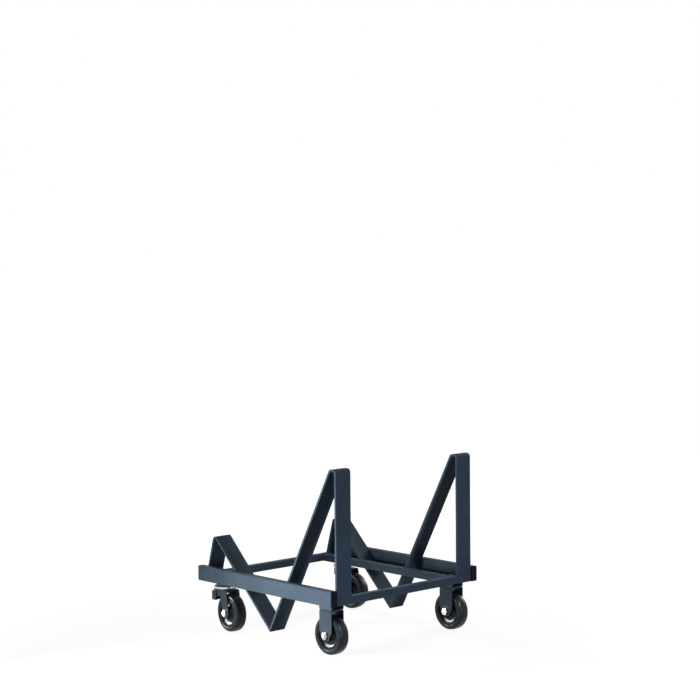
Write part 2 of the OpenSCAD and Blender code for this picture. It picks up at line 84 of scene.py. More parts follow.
def feed(tree, socket, value):
    """Set a socket to a number or a colour, or link another node's output to it."""
    if isinstance(value, (int, float)):
        socket.default_value = value
    elif isinstance(value, tuple):
        socket.default_value = (*value, 1.0)
    else:
        tree.links.new(value, socket)


def maths(tree, operation, first, second, clamp=False):
    made = tree.nodes.new("ShaderNodeMath")
    made.operation = operation
    made.use_clamp = clamp
    feed(tree, made.inputs[0], first)
    feed(tree, made.inputs[1], second)
    return made.outputs[0]


def stretch(tree, value, low, high, to_low=0.0, to_high=1.0):
    """A value eased from one range to another, and held at its ends."""
    made = tree.nodes.new("ShaderNodeMapRange")
    made.interpolation_type = "SMOOTHSTEP"
    feed(tree, made.inputs["Value"], value)
    feed(tree, made.inputs["From Min"], low)
    feed(tree, made.inputs["From Max"], high)
    feed(tree, made.inputs["To Min"], to_low)
    feed(tree, made.inputs["To Max"], to_high)
    return made.outputs["Result"]


def drift(tree, mask, start, stop):
    """A value that goes from start to stop as a mask goes from 0 to 1."""
    return stretch(tree, mask, low=0.0, high=1.0, to_low=start, to_high=stop)


def blend(tree, share, first, second):
    """Two colours mixed. A Mix node has sockets for every kind of value, so colours are found by place."""
    share_place, first_place, second_place, result_place = 0, 6, 7, 2
    made = tree.nodes.new("ShaderNodeMix")
    made.data_type = "RGBA"
    feed(tree, made.inputs[share_place], share)
    feed(tree, made.inputs[first_place], first)
    feed(tree, made.inputs[second_place], second)
    return made.outputs[result_place]


def noise(tree, coordinates, scale, detail, roughness):
    made = tree.nodes.new("ShaderNodeTexNoise")
    feed(tree, made.inputs["Vector"], coordinates)
    feed(tree, made.inputs["Scale"], scale)
    feed(tree, made.inputs["Detail"], detail)
    feed(tree, made.inputs["Roughness"], roughness)
    return made.outputs["Fac"]


grain_inputs = [("Scale", 900.0), ("Mottle Scale", 14.0)]
surface_grain, given, wanted = group("Surface grain", grain_inputs, ["Height", "Mottle"])
spot = surface_grain.nodes.new("ShaderNodeTexCoord").outputs["Object"]
fine = noise(surface_grain, spot, given["Scale"], detail=3.0, roughness=0.55)
broad = noise(surface_grain, spot, given["Mottle Scale"], detail=4.0, roughness=0.6)
feed(surface_grain, wanted["Height"], fine)
feed(surface_grain, wanted["Mottle"], stretch(surface_grain, broad, low=0.3, high=0.7))

wear_inputs = [("Width", 1.2 * mm), ("Amount", 0.4)]
wear_start = 0.72
wear_gain = 0.3
wear_blur = 0.05
edge_wear, given, wanted = group("Edge wear", wear_inputs, ["Edge", "Wear"])
spot = edge_wear.nodes.new("ShaderNodeTexCoord").outputs["Object"]
rounded = edge_wear.nodes.new("ShaderNodeBevel")
rounded.samples = 6
feed(edge_wear, rounded.inputs["Radius"], given["Width"])
agree = edge_wear.nodes.new("ShaderNodeVectorMath")
agree.operation = "DOT_PRODUCT"
feed(edge_wear, agree.inputs[0], rounded.outputs["Normal"])
feed(edge_wear, agree.inputs[1], edge_wear.nodes.new("ShaderNodeNewGeometry").outputs["Normal"])
turned_edge = stretch(edge_wear, agree.outputs["Value"], low=0.99, high=0.85)
patches = noise(edge_wear, spot, scale=60.0, detail=5.0, roughness=0.65)
limit = maths(edge_wear, "SUBTRACT", wear_start, maths(edge_wear, "MULTIPLY", given["Amount"], wear_gain))
worn = maths(edge_wear, "MULTIPLY", turned_edge, patches)
feed(edge_wear, wanted["Edge"], turned_edge)
feed(edge_wear, wanted["Wear"], stretch(edge_wear, worn, limit, maths(edge_wear, "ADD", limit, wear_blur)))

scratch_inputs = [("Scale", 60.0), ("Amount", 0.3)]
scratch_turns = ((0.2, 0.5, 0.9), (1.3, -0.4, 2.2))
scratch_squeeze = (1.0, 14.0, 14.0)
fine_scratches, given, wanted = group("Fine scratches", scratch_inputs, ["Scratch"])
spot = fine_scratches.nodes.new("ShaderNodeTexCoord").outputs["Object"]
layers = []
for turn in scratch_turns:
    lay = fine_scratches.nodes.new("ShaderNodeMapping")
    lay.inputs["Rotation"].default_value = turn
    lay.inputs["Scale"].default_value = scratch_squeeze
    feed(fine_scratches, lay.inputs["Vector"], spot)
    lines = noise(fine_scratches, lay.outputs["Vector"], given["Scale"], detail=2.0, roughness=0.4)
    layers.append(stretch(fine_scratches, lines, low=0.66, high=0.72))
crossed = maths(fine_scratches, "MAXIMUM", *layers)
feed(fine_scratches, wanted["Scratch"], maths(fine_scratches, "MULTIPLY", crossed, given["Amount"]))

settled_dust, given, wanted = group("Settled dust", [("Amount", 0.2)], ["Dust"])
spot = settled_dust.nodes.new("ShaderNodeTexCoord").outputs
facing = settled_dust.nodes.new("ShaderNodeSeparateXYZ")
feed(settled_dust, facing.inputs[0], spot["Normal"])
upward = stretch(settled_dust, facing.outputs["Z"], low=0.4, high=1.0)
cloud = noise(settled_dust, spot["Object"], scale=38.0, detail=6.0, roughness=0.7)
laid = maths(settled_dust, "MULTIPLY", upward, stretch(settled_dust, cloud, low=0.38, high=0.74))
feed(settled_dust, wanted["Dust"], maths(settled_dust, "MULTIPLY", laid, given["Amount"]))


def place(tree, effect, **values):
    """One of the node groups in a material, with its own values."""
    made = tree.nodes.new("ShaderNodeGroup")
    made.node_tree = effect
    for key, value in values.items():
        made.inputs[key.replace("_", " ").title()].default_value = value
    return made.outputs


def shader(name, **constants):
    """A new material, with what is the same all over its surface set on the shader itself."""
    material = bpy.data.materials.new(name)
    material.use_nodes = True
    principled = material.node_tree.nodes["Principled BSDF"].inputs
    for key, value in constants.items():
        principled[key.replace("_", " ").title().replace("Ior", "IOR")].default_value = value
    return material, material.node_tree, principled


def bump(tree, principled, height, distance, strength):
    made = tree.nodes.new("ShaderNodeBump")
    made.inputs["Distance"].default_value = distance
    made.inputs["Strength"].default_value = strength
    feed(tree, made.inputs["Height"], height)
    feed(tree, principled["Normal"], made.outputs["Normal"])


def tone(colour, share, lift=0.0):
    """A colour times a share, lifted towards grey."""
    return tuple(channel * share + lift for channel in colour)


def sprayed_paint(name, colour, smooth, rough, wear, dust):
    """Paint with a fine peel: a painted highlight, rubbing and chips on the edges, scratched, and dusty on
    top.
    """
    painted_edge_highlight = 0.35
    dust_dulling = 0.4
    scratch_polish = 0.25
    material, tree, principled = shader(name, specular_ior_level=0.05)
    grain = place(tree, surface_grain, scale=620.0, mottle_scale=11.0)
    edges = place(tree, edge_wear, width=1.1 * mm, amount=wear)
    scratch = place(tree, fine_scratches, scale=34.0, amount=0.22)["Scratch"]
    dusty = place(tree, settled_dust, amount=dust)["Dust"]
    # A lighter tone of the paint, used both for the real scratches and for the painted edge highlight.
    rubbed_and_edge_highlight = tone(colour, share=1.5, lift=0.012)
    paint = blend(tree, grain["Mottle"], tone(colour, share=0.88), tone(colour, share=1.12))
    # Every edge is lightened towards that tone: a painted highlight along the edges, on top of the real
    # rubbing.
    paint = blend(tree, maths(tree, "MULTIPLY", edges["Edge"], painted_edge_highlight), paint, rubbed_and_edge_highlight)
    paint = blend(tree, scratch, paint, rubbed_and_edge_highlight)
    paint = blend(tree, edges["Wear"], paint, bare_steel)
    paint = blend(tree, dusty, paint, paint_dust)
    feed(tree, principled["Base Color"], paint)
    feed(tree, principled["Metallic"], edges["Wear"])
    clean = drift(tree, grain["Mottle"], smooth, rough)
    dulled = maths(tree, "ADD", clean, maths(tree, "MULTIPLY", dusty, dust_dulling))
    polish = maths(tree, "MULTIPLY", scratch, scratch_polish)
    feed(tree, principled["Roughness"], maths(tree, "SUBTRACT", dulled, polish, clamp=True))
    bump(tree, principled, grain["Height"], distance=0.05 * mm, strength=0.35)
    return material


def finish_node(name, material, edge_radius=0.0):
    """Give a node its material, and break its sharp edges where a radius is given."""
    made = nodes[name]
    made.data.materials.clear()
    made.data.materials.append(material)
    if edge_radius:
        joined = made.modifiers.new("joined_faces", "WELD")
        joined.merge_threshold = 0.002 * mm
        single = made.modifiers.new("single_faces", "DECIMATE")
        single.decimate_type = "DISSOLVE"
        single.angle_limit = math.radians(0.5)
        broken = made.modifiers.new("broken_edge", "BEVEL")
        broken.width = edge_radius
        broken.segments = 2
        broken.limit_method = "ANGLE"
        broken.angle_limit = math.radians(32)
        levelled = made.modifiers.new("level_faces", "WEIGHTED_NORMAL")
        levelled.weight = 100


frame_paint = sprayed_paint("frame_paint", satin_navy, smooth=0.46, rough=0.56, wear=0.30, dust=0.04)
for side in sides:
    finish_node("side_rail_" + side, frame_paint)


# End plugs: four black polyethylene mouldings hammered into the open ends of the side rails.
# The moulding has a spark-eroded texture with no gloss, and its flange has a rounded rim.
def mottled_finish(name, dark, light, smooth, rough, scale, mottle_scale, depth, strength, **constants):
    """A bare material whose colour and roughness drift over a grained surface."""
    material, tree, principled = shader(name, **constants)
    grain = place(tree, surface_grain, scale=scale, mottle_scale=mottle_scale)
    feed(tree, principled["Base Color"], blend(tree, grain["Mottle"], dark, light))
    feed(tree, principled["Roughness"], drift(tree, grain["Mottle"], smooth, rough))
    bump(tree, principled, grain["Height"], depth, strength)
    return material


plug_plastic = mottled_finish(
    "plug_plastic", dark=(0.007, 0.008, 0.010), light=(0.012, 0.014, 0.017), smooth=0.5, rough=0.66,
    scale=1900.0, mottle_scale=60.0, depth=0.12 * mm, strength=0.6, specular_ior_level=0.04,
)
finish_node("end_plugs", plug_plastic, edge_radius=1.0 * mm)


# Cross rails and inner rails: 20 mm square tube, sawn square and welded between the side rails.
# They carry the same paint as the side rails.
for name in ("front_cross_rail", "rear_cross_rail", "inner_rail_right", "inner_rail_left"):
    finish_node(name, frame_paint)


# Caster plates and risers: pieces of flat bar laid between side rail and inner rail, and short
# lengths of tube under the front plates that bring the fixed forks down to the same height.
# Both are welded in before painting.
for side in sides:
    finish_node("caster_plate_front_" + side, frame_paint, edge_radius=0.6 * mm)
    finish_node("caster_plate_rear_" + side, frame_paint, edge_radius=0.6 * mm)
    finish_node("riser_" + side, frame_paint)


# Cradle bars: 50 x 6 mm hot rolled flat bar, folded over a former, one bar for post and long arm
# and one for strut and short arm. The sheared edges are broken with a file before painting.
for side in sides:
    finish_node("front_bar_" + side, frame_paint, edge_radius=0.8 * mm)
    finish_node("rear_bar_" + side, frame_paint, edge_radius=0.8 * mm)


# Weld beads: short fillets of mild steel run by hand where the pieces of the frame meet.
# Each bead is a row of overlapping crescents with tapered ends, and is painted with the frame.
scene = bpy.context.scene
ends = ("front", "rear")
bead_radius = 2.3 * mm
bead_pitch = 2.6 * mm
bead_sides = 8
bead_flatness = 0.85
rings_per_crescent = 3
fewest_rings = 8
crescent_swell = 0.09
crescent_lag = 0.35 * bead_pitch
taper_end = 0.35
taper_run = 1.5 * bead_pitch
bar_inset = 2.0 * mm
plate_bead_share = 0.3
rail_low, rail_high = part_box("side_rail_right")
cross_low, cross_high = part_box("front_cross_rail")
inner_low, inner_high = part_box("inner_rail_right")
riser_low, riser_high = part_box("riser_right")


def lay_bead(mesh, start, end, open_way):
    """One closed bead from start to end, standing out towards the open side of its corner."""
    way = (end - start).normalized()
    outward = open_way.normalized()
    across_bead = way.cross(outward)
    length = (end - start).length
    rings = max(fewest_rings, int(length / bead_pitch * rings_per_crescent))
    previous = None
    for i in range(rings + 1):
        along = length * i / rings
        taper = min(1.0, taper_end + min(along, length - along) / taper_run)
        swell = 1.0 + crescent_swell * math.sin(2 * math.pi * along / bead_pitch)
        reach = bead_radius * taper * swell
        ring = []
        for k in range(bead_sides):
            turn = 2 * math.pi * k / bead_sides
            lag = -crescent_lag * math.cos(turn) * taper
            out = outward * (reach * math.cos(turn) * bead_flatness)
            aside = across_bead * (reach * math.sin(turn))
            ring.append(mesh.verts.new(start + way * (along + lag) + out + aside))
        if previous:
            for k in range(bead_sides):
                after = (k + 1) % bead_sides
                mesh.faces.new((previous[k], previous[after], ring[after], ring[k]))
        else:
            mesh.faces.new(list(reversed(ring)))
        previous = ring
    mesh.faces.new(previous)


def bar_faces(name, height):
    """X of each face of a folded bar at a height, from rear to front."""
    same_plane = 0.1 * mm
    places = 4
    data = nodes[name].data
    found = set()
    for edge in data.edges:
        one, two = (data.vertices[i].co for i in edge.vertices)
        if abs(one.y - two.y) < same_plane and (one.z - height) * (two.z - height) < 0:
            share = (height - one.z) / (two.z - one.z)
            found.add(round(one.x + (two.x - one.x) * share, places))
    return sorted(found)


def bead_runs():
    """Start, end and open direction of every bead on the right side."""
    up = Vector((0, 0, 1))
    ahead = Vector((1, 0, 0))
    inward = Vector((0, 1, 0))
    rail_y = rail_high.y
    inner_y = inner_low.y
    inner_far_y = inner_high.y
    low_z = rail_low.z
    top_z = rail_high.z
    cross_z = cross_high.z
    near_y = rail_y + bar_inset
    far_y = inner_y - bar_inset
    foot_z = low_z + bar_inset
    front_faces = bar_faces("front_bar_right", cross_z + bar_inset)
    rear_faces = bar_faces("rear_bar_right", cross_z + bar_inset)
    for x, way in ((front_faces[-2], -ahead), (rear_faces[0], -ahead), (rear_faces[1], ahead)):
        yield Vector((x, near_y, cross_z)), Vector((x, far_y, cross_z)), up + way
    for sign in (-1, 1):
        near_x = sign * cross_low.x
        far_x = sign * cross_high.x
        to_middle = -sign * ahead
        yield Vector((near_x, rail_y, low_z)), Vector((near_x, rail_y, cross_z)), inward + to_middle
        yield Vector((near_x, inner_far_y, low_z)), Vector((near_x, inner_far_y, cross_z)), inward + to_middle
        yield Vector((near_x, inner_y, cross_z)), Vector((near_x, inner_far_y, cross_z)), up + to_middle
        yield Vector((near_x, rail_y, cross_z)), Vector((far_x, rail_y, cross_z)), up + inward
    for name, picks in (("front_bar_right", (0, 1)), ("rear_bar_right", (-2, -1))):
        for pick, way in zip(picks, (-ahead, ahead)):
            low_x = bar_faces(name, foot_z)[pick]
            for y, high_z, open_y in ((rail_y, top_z, inward), (inner_y, cross_z, -inward)):
                head_z = high_z - bar_inset
                high_x = bar_faces(name, head_z)[pick]
                yield Vector((low_x, y, foot_z)), Vector((high_x, y, head_z)), way + open_y
    for end in ends:
        low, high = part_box(f"caster_plate_{end}_right")
        middle = (low.x + high.x) / 2
        reach = plate_bead_share * (high.x - low.x)
        for y, way in ((low.y, inward), (high.y, -inward)):
            yield Vector((middle - reach, y, high.z)), Vector((middle + reach, y, high.z)), up + way
    for y, way in ((riser_low.y, -inward), (riser_high.y, inward)):
        yield Vector((riser_low.x, y, riser_high.z)), Vector((riser_high.x, y, riser_high.z)), way - up


for side in sides:
    across_frame = Vector((1, 1 if side == "right" else -1, 1))
    beads = bmesh.new()
    for start, end, open_way in bead_runs():
        lay_bead(beads, start * across_frame, end * across_frame, open_way * across_frame)
    bmesh.ops.recalc_face_normals(beads, faces=beads.faces)
    data = bpy.data.meshes.new("weld_beads_" + side)
    beads.to_mesh(data)
    beads.free()
    data.shade_smooth()
    data.materials.append(frame_paint)
    welds = bpy.data.objects.new("weld_beads_" + side, data)
    scene.collection.objects.link(welds)
    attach(welds, "frame")


# Front forks: steel strap bent over the wheel, stove enamelled a little glossier than the frame.
# One plated bolt through web, riser and plate holds each fork, with a nut on top of the plate. The whole
# bolt's plating is darkened as painted shade, for its head under the web.
dark_navy = (0.039, 0.054, 0.077)
fork_bolt_flats = 17.0 * mm
fork_bolt_head = 6.0 * mm
fork_bolt_r = 5.0 * mm
thread_lead = 0.1 * mm
caster_enamel = sprayed_paint("caster_enamel", dark_navy, smooth=0.36, rough=0.46, wear=0.26, dust=0.04)
for side in sides:
    finish_node("front_fork_" + side, caster_enamel, edge_radius=0.5 * mm)


def zinc_plating(name, dark, light, smooth, rough):
    """Plating with a faint spangle, crossed by fine dark scratches."""
    material, tree, principled = shader(name, metallic=1.0)
    grain = place(tree, surface_grain, scale=1500.0, mottle_scale=160.0)
    scratch = place(tree, fine_scratches, scale=120.0, amount=0.4)["Scratch"]
    zinc = blend(tree, grain["Mottle"], dark, light)
    feed(tree, principled["Base Color"], blend(tree, scratch, zinc, tone(dark, share=0.75)))
    feed(tree, principled["Roughness"], drift(tree, grain["Mottle"], smooth, rough))
    bump(tree, principled, grain["Height"], distance=0.01 * mm, strength=0.3)
    return material


bright_zinc = zinc_plating(
    "bright_zinc", dark=(0.52, 0.55, 0.58), light=(0.68, 0.70, 0.72), smooth=0.20, rough=0.36
)
# A dark copy of the plating: painted shade for the fork bolts, whose heads sit in the shade under the fork's
# web.
dull_zinc = zinc_plating(
    "dull_zinc", dark=(0.13, 0.14, 0.15), light=(0.22, 0.23, 0.24), smooth=0.38, rough=0.52
)


def turn_on_axis(mesh, rings, centre, axis, flats=0.0, closed=False, steps=72):
    """Rings of (height along the axis, radius), cut to a hexagon where its size over flats is given."""
    sixth_turn = math.pi / 3
    side_way = Vector((1, 0, 0))
    side_way = (side_way - axis * side_way.dot(axis)).normalized()
    third_way = axis.cross(side_way)
    made = []
    for height, radius in rings:
        ring = []
        for k in range(steps):
            turn = 2 * math.pi * k / steps
            reach = radius
            if flats:
                reach = min(radius, flats / 2 / math.cos(turn % sixth_turn - sixth_turn / 2))
            spoke = side_way * math.cos(turn) + third_way * math.sin(turn)
            ring.append(mesh.verts.new(centre + axis * height + spoke * reach))
        made.append(ring)
    pairs = list(zip(made, made[1:]))
    if closed:
        pairs.append((made[-1], made[0]))
    else:
        mesh.faces.new(made[0])
        mesh.faces.new(made[-1])
    for lower, upper in pairs:
        for k in range(steps):
            after = (k + 1) % steps
            mesh.faces.new((lower[k], lower[after], upper[after], upper[k]))


def hexagon_rings(flats, base, top):
    """A hexagon on a round bearing face, with its corners turned off at both ends."""
    bearing_height = 0.4 * mm
    bearing_r = 0.47 * flats
    top_r = 0.49 * flats
    inner_r = 0.42 * flats
    corner = flats / math.sqrt(3)
    way = 1 if top > base else -1
    chamfer = way * (corner - flats / 2) * math.tan(math.radians(35))
    bearing = base + way * bearing_height
    return [
        (base, bearing_r), (bearing, bearing_r), (bearing, flats / 2), (bearing + chamfer, corner),
        (top - chamfer, corner), (top, top_r), (top, inner_r),
    ]


def thread_rings(radius, base, top):
    """Crests and roots of a thread, ending in a chamfer."""
    pitch = 1.0 * mm
    chamfer = 0.5 * mm
    root_r = 0.9 * radius
    shoulder_r = 0.96 * radius
    tip_r = 0.8 * radius
    rings = []
    for i in range(int((top - base - chamfer) / pitch)):
        rings.append((base + i * pitch, root_r))
        rings.append((base + (i + 0.5) * pitch, radius))
    return rings + [(top - chamfer, shoulder_r), (top, tip_r)]


def add_turned(mesh, name, material, body, stands_for):
    """Make a piece of a turned mesh, in place of a node that has its size."""
    bmesh.ops.recalc_face_normals(mesh, faces=mesh.faces)
    data = bpy.data.meshes.new(name)
    mesh.to_mesh(data)
    mesh.free()
    data.shade_smooth()
    data.set_sharp_from_angle(angle=math.radians(28))
    data.materials.append(material)
    piece = bpy.data.objects.new(name, data)
    scene.collection.objects.link(piece)
    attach(piece, body)
    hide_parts(stands_for)


def plate_fastening(bolt, nut, flats, head, shank, bolt_material):
    """A bolt that points up through a caster plate, and the nut on top of the plate."""
    thread_in_nut = 1.0 * mm
    bolt_low, bolt_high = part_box(bolt)
    nut_low, nut_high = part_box(nut)
    foot = Vector(((nut_low.x + nut_high.x) / 2, (nut_low.y + nut_high.y) / 2, 0))
    up = Vector((0, 0, 1))
    made = bmesh.new()
    turn_on_axis(made, hexagon_rings(flats, nut_low.z, nut_high.z), foot, up, flats)
    add_turned(made, "plated_" + nut, bright_zinc, "frame", nut)
    made = bmesh.new()
    head_z = bolt_low.z + head
    turn_on_axis(made, hexagon_rings(flats, head_z, bolt_low.z), foot, up, flats)
    thread_z = nut_high.z - thread_in_nut
    shaft = [(head_z, shank), (thread_z, shank)]
    shaft += thread_rings(shank, thread_z + thread_lead, bolt_high.z)
    turn_on_axis(made, shaft, foot, up)
    add_turned(made, "threaded_" + bolt, bolt_material, "frame", bolt)


for side in sides:
    plate_fastening(
        "fork_bolt_" + side, "fork_nut_" + side, fork_bolt_flats, fork_bolt_head, fork_bolt_r,
        dull_zinc,
    )


# Swivel heads: a pressed upper race bolted under each rear plate by its kingpin, a ring of balls,
# and a bright dust cap rolled over the gap. The kingpin's nut stands on top of the plate.
kingpin_flats = 19.0 * mm
kingpin_head = 7.0 * mm
kingpin_r = 6.0 * mm
turned_steel = mottled_finish(
    "turned_steel", dark=(0.34, 0.34, 0.35), light=(0.48, 0.48, 0.48), smooth=0.26, rough=0.42,
    scale=700.0, mottle_scale=90.0, depth=0.03 * mm, strength=0.3, metallic=1.0,
)
for side in sides:
    finish_node("swivel_race_" + side, caster_enamel, edge_radius=0.5 * mm)
    finish_node("ball_ring_" + side, turned_steel)
    finish_node("dust_cap_" + side, bright_zinc, edge_radius=0.6 * mm)
    plate_fastening(
        "kingpin_" + side, "kingpin_nut_" + side, kingpin_flats, kingpin_head, kingpin_r,
        turned_steel,
    )


# Swivel forks and brake levers: pressed steel, enamelled like the front forks. The lever is a tab
# that hangs on a rivet in the fork's ear and pushes its shoe against the tyre. The rivet's domed
# head is enamelled with the fork.
joints = {joint["name"]: joint for joint in frame["joints"]}
rivet_shank_r = 3.0 * mm
rivet_head_r = 5.0 * mm
rivet_head = 2.0 * mm
dome_steps = 8


def outward_axis(joint):
    """A joint's centre, and its axis pointing away from the middle of the trolley."""
    centre = Vector(joint["pos_m"])
    axis = Vector(joint["axis"])
    return centre, -axis if axis.y * centre.y < 0 else axis


for side in sides:
    finish_node("swivel_fork_" + side, caster_enamel, edge_radius=0.5 * mm)
    finish_node("brake_lever_" + side, caster_enamel, edge_radius=0.6 * mm)
    centre, outward = outward_axis(joints[f"brake_{side}_lever"])
    reach = [(corner.co - centre).dot(outward) for corner in nodes["brake_pin_" + side].data.vertices]
    base = max(reach) - rivet_head
    rivet = [(min(reach), rivet_shank_r), (base, rivet_shank_r)]
    for i in range(dome_steps):
        turn = math.pi / 2 * i / dome_steps
        rivet.append((base + rivet_head * math.sin(turn), rivet_head_r * math.cos(turn)))
    made = bmesh.new()
    turn_on_axis(made, rivet, centre, outward)
    add_turned(made, "domed_rivet_" + side, caster_enamel, "swivel_" + side, "brake_pin_" + side)


# Axles: a plated hexagon bolt through the fork, with a locking nut on its outer end, and a turned
# steel sleeve between the fork's legs on which the wheel runs.
axle_r = 5.0 * mm
collar_r = 7.0 * mm
collar_height = 1.5 * mm
collar_chamfer = 0.6 * mm
collar_gap = 0.2 * mm
nut_low, nut_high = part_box("axle_nut_front_right")
bolt_low, bolt_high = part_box("axle_bolt_front_right")
_, fork_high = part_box("front_fork_right")
axle_y = joints["front_wheel_right_spin"]["pos_m"][1]
axle_flats = nut_high.z - nut_low.z
fork_half = fork_high.y - axle_y
collar_top = axle_y - nut_low.y
collar_base = collar_top - collar_height
head_top = bolt_high.y - axle_y
axle_tip = axle_y - bolt_low.y
locknut = hexagon_rings(axle_flats, fork_half, collar_base)[:-1]
locknut += [(collar_base, collar_r), (collar_top - collar_chamfer, collar_r)]
locknut += [(collar_top, collar_r - collar_chamfer), (collar_top, axle_r + collar_gap)]
axle_head = hexagon_rings(axle_flats, -fork_half, -head_top)
axle_shaft = [(-fork_half, axle_r), (collar_base, axle_r)]
axle_shaft += thread_rings(axle_r, collar_base + thread_lead, axle_tip)
for end in ends:
    for side in sides:
        finish_node(f"sleeve_{end}_{side}", turned_steel)
        body = "frame" if end == "front" else "swivel_" + side
        centre, outward = outward_axis(joints[f"{end}_wheel_{side}_spin"])
        made = bmesh.new()
        turn_on_axis(made, locknut, centre, outward, axle_flats)
        add_turned(made, f"locknut_{end}_{side}", bright_zinc, body, f"axle_nut_{end}_{side}")
        made = bmesh.new()
        turn_on_axis(made, axle_head, centre, outward, axle_flats)
        turn_on_axis(made, axle_shaft, centre, outward)
        add_turned(made, f"threaded_axle_{end}_{side}", bright_zinc, body, f"axle_bolt_{end}_{side}")


# Wheels: a moulded core of glossy black nylon with a rubber tyre bonded round it. The core has a
# round dish on each face, and the tyre has a mould line round its tread and a ring on each wall.
core_nylon = mottled_finish(
    "core_nylon", dark=(0.006, 0.008, 0.010), light=(0.010, 0.013, 0.016), smooth=0.14, rough=0.22,
    scale=260.0, mottle_scale=45.0, depth=0.04 * mm, strength=0.4, specular_ior_level=0.14,
)

rubber_dark = (0.007, 0.011, 0.017)
rubber_light = (0.013, 0.020, 0.029)
road_dust = (0.12, 0.115, 0.11)
tyre_rubber, tree, principled = shader("tyre_rubber", specular_ior_level=0.16)
grain = place(tree, surface_grain, scale=1200.0, mottle_scale=30.0)
dusty = place(tree, settled_dust, amount=0.10)["Dust"]
rubber = blend(tree, grain["Mottle"], rubber_dark, rubber_light)
feed(tree, principled["Base Color"], blend(tree, dusty, rubber, road_dust))
feed(tree, principled["Roughness"], drift(tree, grain["Mottle"], start=0.26, stop=0.36))
bump(tree, principled, grain["Height"], distance=0.08 * mm, strength=0.5)

wheel_steps = 120
shoulder = 7.0 * mm
shoulder_stop = 8
shoulder_steps = 10
crown = 0.6 * mm
tread_flat_half = 5.0 * mm
tread_fall = 0.3 * crown
mould_line_half = 0.5 * mm
mould_floor_half = 0.3 * mm
mould_line_depth = 0.25 * mm
ring_inset = 2.2 * mm
ring_half = 0.6 * mm
ring_depth = 0.2 * mm
lip = 0.8 * mm
lip_steps = 4
hub_r = 13.0 * mm
rim_wall = 5.0 * mm
rim_step = 1.0 * mm
dish_depth = 8.0 * mm
dish_steps = 24
running_gap = 0.06 * mm
tyre_low, tyre_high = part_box("tyre_front_right")
core_low, core_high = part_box("core_front_right")
sleeve_low, sleeve_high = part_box("sleeve_front_right")
tyre_r = (tyre_high.z - tyre_low.z) / 2
tread_half = (tyre_high.y - tyre_low.y) / 2
core_r = (core_high.z - core_low.z) / 2
hub_half = (core_high.y - core_low.y) / 2
bore_r = (sleeve_high.z - sleeve_low.z) / 2 + running_gap
ring_r = core_r + ring_inset
rim_half = tread_half - rim_step
rim_r = core_r - rim_wall
dish_r = (rim_r - hub_r) / 2
dish_height = rim_half - dish_depth + dish_r
dish_edge = math.degrees(math.asin((rim_half - dish_height) / dish_r))


def section_arc(height, radius, size, start, stop, steps):
    """Points on a round stretch of a section, by degrees from outward in radius to up in height."""
    turns = [math.radians(start + (stop - start) * i / steps) for i in range(steps + 1)]
    return [(height + size * math.sin(turn), radius + size * math.cos(turn)) for turn in turns]


def both_halves(half):
    """A closed section from the half of it that is above the wheel's middle."""
    return half + [(-height, radius) for height, radius in reversed(half)]


half_tyre = [(tread_half - lip, core_r), (tread_half, core_r + lip), (tread_half, ring_r)]
half_tyre += [(tread_half - ring_depth, ring_r + ring_half), (tread_half, ring_r + 2 * ring_half)]
half_tyre += section_arc(
    tread_half - shoulder, tyre_r - crown - shoulder, shoulder, 90, shoulder_stop, shoulder_steps
)
half_tyre += [(tread_flat_half, tyre_r - tread_fall), (mould_line_half, tyre_r)]
half_tyre += [(mould_floor_half, tyre_r - mould_line_depth)]
half_core = [(hub_half - lip, bore_r), (hub_half, bore_r + lip)]
half_core += section_arc(hub_half - lip, hub_r - lip, lip, 90, 0, lip_steps)
half_core += [(rim_half, hub_r)]
half_core += section_arc(dish_height, hub_r + dish_r, dish_r, 180 - dish_edge, 360 + dish_edge, dish_steps)
half_core += [(rim_half, core_r - lip), (rim_half - lip, core_r)]
tyre_rings = both_halves(half_tyre)
core_rings = both_halves(half_core)
for end in ends:
    for side in sides:
        joint = joints[f"{end}_wheel_{side}_spin"]
        body = f"wheel_{end}_{side}"
        centre = Vector(joint["pos_m"])
        axle = Vector(joint["axis"])
        made = bmesh.new()
        turn_on_axis(made, tyre_rings, centre, axle, closed=True, steps=wheel_steps)
        add_turned(made, f"rubber_tyre_{end}_{side}", tyre_rubber, body, f"tyre_{end}_{side}")
        made = bmesh.new()
        turn_on_axis(made, core_rings, centre, axle, closed=True, steps=wheel_steps)
        add_turned(made, f"nylon_core_{end}_{side}", core_nylon, body, f"core_{end}_{side}")


# Floor and surround: a pale matt floor that fades into an even white, which the camera and the
# polished metal see. Neither throws more than a little light on the trolley.
white = (1.0, 1.0, 1.0)
floor_grey = (0.2, 0.2, 0.2)
floor_reach = 30.0
fade_start = 0.5
fade_stop = 1.6
glow_near = 0.89
full_white = 1.0
room_light = 0.055
corners = [(-1, -1), (1, -1), (1, 1), (-1, 1)]
floor_mesh = bpy.data.meshes.new("floor")
floor_mesh.from_pydata([(x * floor_reach, y * floor_reach, 0) for x, y in corners], [], [(0, 1, 2, 3)])
floor = bpy.data.objects.new("floor", floor_mesh)
scene.collection.objects.link(floor)


def seen_directly(tree):
    """1 for what the camera sees, by itself or in a reflection, and 0 for what only lights the scene."""
    ray = tree.nodes.new("ShaderNodeLightPath").outputs
    shown = maths(tree, "MAXIMUM", ray["Is Camera Ray"], ray["Is Glossy Ray"])
    return maths(tree, "MAXIMUM", shown, ray["Is Transmission Ray"])


